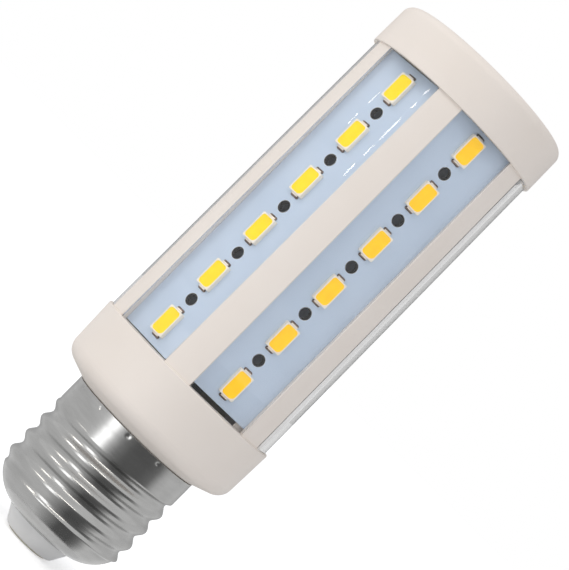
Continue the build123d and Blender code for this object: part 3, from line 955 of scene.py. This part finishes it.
rim_section = [
    (RIM_THICKNESS * sin(turn), HOLE_RADIUS + MOUTH_WIDTH + RIM_THICKNESS * (1 + cos(turn)))
    for turn in (2 * pi * corner / RIM_CORNERS for corner in range(RIM_CORNERS))
]
board_thickness = board_high[1] - board_low[1]
wall_section = [
    (MOUTH_LIFT, HOLE_RADIUS + MOUTH_WIDTH),
    (-MOUTH_DROP, HOLE_RADIUS + MOUTH_WIDTH),
    (-board_thickness, HOLE_RADIUS),
    (-board_thickness, HOLE_RADIUS - LINING),
    (-LINING_TOP, HOLE_RADIUS - LINING),
    (MOUTH_LIFT, HOLE_RADIUS),
]
hole_rim = ring_shape("hole_rim", rim_section)
hole_wall = ring_shape("hole_wall", wall_section)
bare_rim = grained_finish(
    "bare_rim", tone(225, 228, 230), tone(205, 209, 212), (0.25, 0.4), 0.003 * MM, clouds=900.0,
    Metallic=1.0,
)
# The lining's near-black colour is painted shade for the inside of each hole.
dark_core = grained_finish(
    "dark_core", tone(26, 27, 29), tone(20, 21, 23), (0.5, 0.7), 0.004 * MM, clouds=900.0
)
print(f"hole {2 * HOLE_RADIUS / MM:.2f} mm wide")

# %% [markdown]
# The first side faces the front, and each next one is a sixth of a turn on. A row starts at
# the lowest chip of its own board, and the holes lie half-way between the chips.

# %% Set every row in its place
FIRST_SIDE_ANGLE = -90
SHARP_ANGLE = radians(40)
for number in side_numbers:
    low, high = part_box(f"led_bodies_{number}")
    first_chip = low[2] + chip_length / 2
    spacing = (high[2] - low[2] - chip_length) / (CHIP_COUNT - 1)
    place = {
        "Count": CHIP_COUNT,
        "Spacing": spacing,
        "First_Height": first_chip,
        "Board_Radius": board_front,
        "Side_Angle": radians(FIRST_SIDE_ANGLE + 360 / SIDE_COUNT * (number - 1)),
    }
    chip_rows = [
        ("chip_frames", "led_bodies", chip_frame, frame_resin, SHARP_ANGLE),
        ("phosphor_fills", "led_phosphor", phosphor_fill, glowing_phosphors[number], SHARP_ANGLE),
        ("solder_fillets", "led_terminals", solder_fillet, browned_solder, None),
        ("chip_feet", "led_terminals", chip_foot, bright_foot, SHARP_ANGLE),
    ]
    for name, node, shape, finish, sharp_angle in chip_rows:
        piece = grow_piece(
            f"{name}_{number}", row_tree, sharp_angle, Shape=shape, Finish=finish, **place
        )
        seat(piece, f"{node}_{number}")
    place.update(Count=CHIP_COUNT - 1, First_Height=first_chip + spacing / 2)
    hole_rows = [
        ("hole_rims", hole_rim, bare_rim, None),
        ("hole_walls", hole_wall, dark_core, SHARP_ANGLE),
    ]
    for name, shape, finish, sharp_angle in hole_rows:
        ring = grow_piece(
            f"{name}_{number}", row_tree, sharp_angle, Shape=shape, Finish=finish, **place
        )
        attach(ring, "root")
for shape in (chip_frame, phosphor_fill, solder_fillet, chip_foot, hole_rim, hole_wall):
    bpy.data.objects.remove(shape)

# %% [markdown]
# ## Light and surroundings
# The room is a little cool, as in a studio with a window, and stronger on the window's
# side. It is white only for rays that look at it, mirror it or pass through a clear piece.
# For all other rays it keeps a plain level, so the object isn't lit any brighter.

# %% Light the room
ROOM_LEVEL = 0.7
ROOM_LEAN = 0.32
WINDOW_AZIMUTH = 50
ROOM_TINT = (0.98, 0.99, 1.025, 1)


def looked_at(tree):
    """1 for a ray that sees, mirrors or looks through to this surface, and 0 otherwise."""
    path = add_node(tree, "ShaderNodeLightPath").outputs
    seen = maths(tree, "MAXIMUM", path["Is Camera Ray"], path["Is Glossy Ray"])
    return maths(tree, "MAXIMUM", seen, path["Is Transmission Ray"])


world = bpy.data.worlds.new("white_room")
world.use_nodes = True
room_tree = world.node_tree
room_tree.nodes.clear()
room_seen = looked_at(room_tree)
room_direction = add_node(room_tree, "ShaderNodeTexCoord").outputs["Generated"]
window_side = horizontal(CAMERA_AZIMUTH + WINDOW_AZIMUTH)
towards_window = add_node(
    room_tree, "ShaderNodeVectorMath", {0: room_direction, 1: window_side}, operation="DOT_PRODUCT"
).outputs["Value"]
room_plain = maths(room_tree, "MULTIPLY_ADD", towards_window, ROOM_LEVEL * ROOM_LEAN, ROOM_LEVEL)
room_strength = add_node(
    room_tree, "ShaderNodeMix", {0: room_seen, 2: room_plain, 3: 1.0}
).outputs[0]
room_colour = add_node(
    room_tree, "ShaderNodeMix", {0: room_seen, 6: ROOM_TINT, 7: WHITE}, data_type="RGBA"
).outputs[2]
room_light = add_node(
    room_tree, "ShaderNodeBackground", {"Color": room_colour, "Strength": room_strength}
).outputs[0]
add_node(room_tree, "ShaderNodeOutputWorld", {"Surface": room_light})
bpy.context.scene.world = world
print("room level", ROOM_LEVEL)

# %% [markdown]
# Two lamps do the rest, both a little warm: a soft square one on the left of the camera,
# and a long slim one high above it.

# %% Hang the lamps
LAMP_TINT = (1.0, 0.95, 0.87)
LAMP_DISTANCE = 0.9


def soft_lamp(name, azimuth, elevation, width, height, power):
    """An area lamp that looks at the bulb's middle. Its azimuth counts from the camera's."""
    lamp_data = bpy.data.lights.new(name, "AREA")
    lamp_data.shape = "RECTANGLE"
    lamp_data.size = width
    lamp_data.size_y = height
    lamp_data.energy = power
    lamp_data.color = LAMP_TINT
    lamp = add_object(name, lamp_data)
    middle = Vector((0, 0, AIM_HEIGHT))
    rise = radians(elevation)
    direction = horizontal(CAMERA_AZIMUTH + azimuth) * cos(rise) + Vector((0, 0, sin(rise)))
    lamp.matrix_world = Matrix.Translation(middle + direction * LAMP_DISTANCE) @ (
        direction.to_track_quat("Z", "Y").to_matrix().to_4x4()
    )


soft_lamp("key_lamp", azimuth=64, elevation=30, width=0.3, height=0.3, power=1.2)
soft_lamp("high_lamp", azimuth=2, elevation=40, width=0.5, height=0.07, power=0.7)
print("two lamps", LAMP_DISTANCE, "m away")

# %% [markdown]
# The floor is one large white sheet just under the contact. It glows only for the rays that
# see it white, as the room does, so it still holds the bulb's shadow.

# %% Lay the floor
FLOOR_REACH = 6.0
FLOOR_LEVEL = -0.05 * MM
FLOOR_GLOW = 0.5


def stage_piece(name, points, faces, material):
    """A mesh that belongs to the studio and not to the bulb."""
    mesh = bpy.data.meshes.new(name)
    mesh.from_pydata(points, [], faces)
    mesh.materials.append(material)
    piece = add_object(name, mesh)
    return piece


floor_finish, floor_tree = empty_material("white_floor")
floor_strength = maths(floor_tree, "MULTIPLY", looked_at(floor_tree), FLOOR_GLOW)
floor_glow = add_node(
    floor_tree, "ShaderNodeEmission", {"Color": WHITE, "Strength": floor_strength}
).outputs[0]
floor_matt = add_node(
    floor_tree, "ShaderNodeBsdfDiffuse", {"Color": tone(238, 238, 238)}
).outputs[0]
floor_sum = add_node(floor_tree, "ShaderNodeAddShader", {0: floor_glow, 1: floor_matt}).outputs[0]
add_node(floor_tree, "ShaderNodeOutputMaterial", {"Surface": floor_sum})
floor_corners = [
    (x * FLOOR_REACH, y * FLOOR_REACH, FLOOR_LEVEL) for x, y in ((-1, -1), (1, -1), (1, 1), (-1, 1))
]
stage_piece("floor", floor_corners, [(0, 1, 2, 3)], floor_finish)
print("floor", FLOOR_REACH * 2, "m wide")

# %% [markdown]
# Metal shows little but its surroundings, and in a room that is white all round it looks
# flat. Studios stand cards about it. Only rays that mirror or pass through see the cards,
# so they cast no light or shade. Each card's level is written into its mesh as an
# attribute, from a list of azimuths, counted from the camera's, and their levels.

# %% Bend a card round the axis
CARD_STEP = 2
card_finish, card_tree = empty_material("studio_card")
card_level = add_node(card_tree, "ShaderNodeAttribute", attribute_name="level").outputs["Fac"]
card_glow = add_node(
    card_tree, "ShaderNodeEmission", {"Color": WHITE, "Strength": card_level}
).outputs[0]
add_node(card_tree, "ShaderNodeOutputMaterial", {"Surface": card_glow})


def studio_card(name, profile, stops, unseen):
    """A bent card. profile holds (distance, height), stops holds (azimuth, level)."""
    span = stops[-1][0] - stops[0][0]
    columns = max(1, round(span / CARD_STEP))
    azimuths = [stops[0][0] + span * column / columns for column in range(columns + 1)]
    points, levels, faces = [], [], []
    for azimuth in azimuths:
        for (start, start_level), (end, end_level) in zip(stops, stops[1:]):
            if start <= azimuth <= end:
                part = (azimuth - start) / (end - start)
                level = start_level + (end_level - start_level) * part
        outwards = horizontal(CAMERA_AZIMUTH + azimuth)
        for far, height in profile:
            points.append((outwards * far + Vector((0, 0, height)))[:])
            levels.append(level)
    heights = len(profile)
    for column in range(columns):
        for step in range(heights - 1):
            low, high = column * heights + step, (column + 1) * heights + step
            faces.append((low, high, high + 1, low + 1))
    card = stage_piece(name, points, faces, card_finish)
    card.data.attributes.new("level", "FLOAT", "POINT").data.foreach_set("value", levels)
    for ray in ("camera", "diffuse", "shadow", "volume_scatter", unseen):
        setattr(card, f"visible_{ray}", False)
    print(name, len(faces), "faces")


# %% [markdown]
# Two cards close to the screw base, one flat on the floor and one bent round it, have a
# dark part, which gives the nickel its dark band. The round one also has a bright part,
# which gives it a glint. Behind the bulb both are the same.

# %% Set the cards at the base
CARD_LEVEL = 0.1 * MM
from_behind = [(-180, 0.45), (-150, 0.5), (-130, 0.85), (-88, 0.95)]
to_behind = [(130, 0.85), (150, 0.5), (180, 0.45)]
under_front = [(-62, 1.05), (-44, 0.3), (-34, 0.16), (-12, 0.16), (4, 0.5), (22, 0.95)]
round_front = [
    (-76, 0.85), (-62, 0.26), (-44, 0.18), (-14, 0.18), (2, 0.36), (12, 0.9), (17, 1.6), (21, 3.0),
    (30, 3.0), (37, 1.2), (46, 0.95),
]
studio_card(
    "card_under_base",
    [(11 * MM, CARD_LEVEL), (55 * MM, CARD_LEVEL)],
    from_behind + under_front + to_behind,
    "transmission",
)
studio_card(
    "card_round_base",
    [(55 * MM, CARD_LEVEL), (60 * MM, 20 * MM), (58 * MM, 44 * MM)],
    from_behind + round_front + to_behind,
    "transmission",
)

# %% [markdown]
# Two grey cards stand further back: one draws the outlines of what is glossy, and the other
# is seen through the covers and draws their edges. Slim bright ones draw the broken glint
# lines on a clear cover near the head. The table holds their azimuths and, for each, the
# heights in millimetres where a line starts and ends.

# %% Set the cards behind and the glints
BACKDROP_DISTANCE = 300 * MM
BEYOND_DISTANCE = 310 * MM
BACKDROP_HEIGHTS = (0.0, 400 * MM)
GLINT_WIDTH = 0.9
GLINT_LEVEL = 27


def upright_card(name, distance, heights, azimuths, level, unseen):
    """A card that stands upright and has one level all over."""
    profile = [(distance, height) for height in heights]
    studio_card(name, profile, [(azimuth, level) for azimuth in azimuths], unseen)


upright_card(
    "card_behind", BACKDROP_DISTANCE, BACKDROP_HEIGHTS, (140, 220), level=0.3, unseen="transmission"
)
upright_card(
    "card_beyond", BEYOND_DISTANCE, BACKDROP_HEIGHTS, (112, 248), level=0.66, unseen="glossy"
)
glint_lines = {
    36.0: [(102.0, 106.5), (110.2, 113.5), (116.5, 125.5), (129.0, 131.5), (134.5, 136.3)],
    75.0: [(113.0, 117.5), (121.8, 126.2)],
}
glints = [(azimuth, ends) for azimuth, lines in glint_lines.items() for ends in lines]
for number, (azimuth, (low, high)) in enumerate(glints, 1):
    upright_card(
        f"card_glint_{number}",
        BACKDROP_DISTANCE,
        (low * MM, high * MM),
        (azimuth, azimuth + GLINT_WIDTH),
        level=GLINT_LEVEL,
        unseen="transmission",
    )
